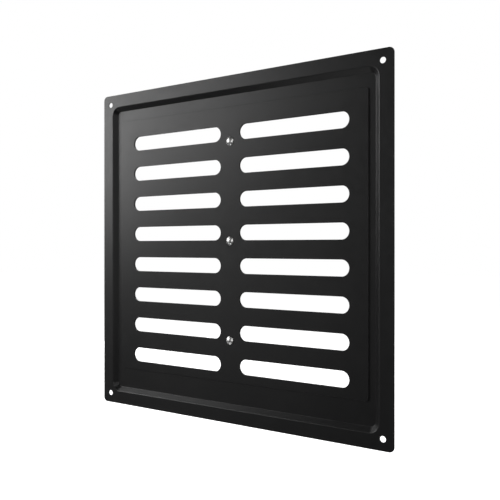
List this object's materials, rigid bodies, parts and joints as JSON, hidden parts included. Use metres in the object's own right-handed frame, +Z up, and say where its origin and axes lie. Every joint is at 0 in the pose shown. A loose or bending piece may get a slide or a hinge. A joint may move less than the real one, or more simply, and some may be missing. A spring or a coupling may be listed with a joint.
{
  "type": "hit-and-miss ventilation grille",
  "caption": "Square wall ventilation grille in black pressed steel: a slotted slider plate runs up and down in a shallow tray to open or close the air slots.",
  "frame": {"origin": "centre of the rim's back, the plane that lies on the wall", "axes": "+Z up, +X to the right seen from the room, -Y out of the wall into the room"},
  "size_m": [0.25, 0.0062, 0.25],
  "materials": {
    "frame_paint": "satin black powder coat",
    "slider_paint": "satin black powder coat",
    "rivet_metal": "bright nickel-plated steel",
    "spring_steel": "plain spring steel",
    "washer_steel": "zinc-plated steel"
  },
  "bodies": {
    "frame": {"frame_plate": "frame_paint"},
    "slider": {"slider_plate": "slider_paint", "rivet_top": "rivet_metal", "spring_washer_top": "spring_steel", "backing_washer_top": "washer_steel", "rivet_middle": "rivet_metal", "spring_washer_middle": "spring_steel", "backing_washer_middle": "washer_steel", "rivet_bottom": "rivet_metal", "spring_washer_bottom": "spring_steel", "backing_washer_bottom": "washer_steel"}
  },
  "joints": [
    {"name": "slider_slide", "type": "slide", "parent": "frame", "child": "slider", "axis": [0, 0, 1], "range_m": [-0.012, 0]}
  ]
}
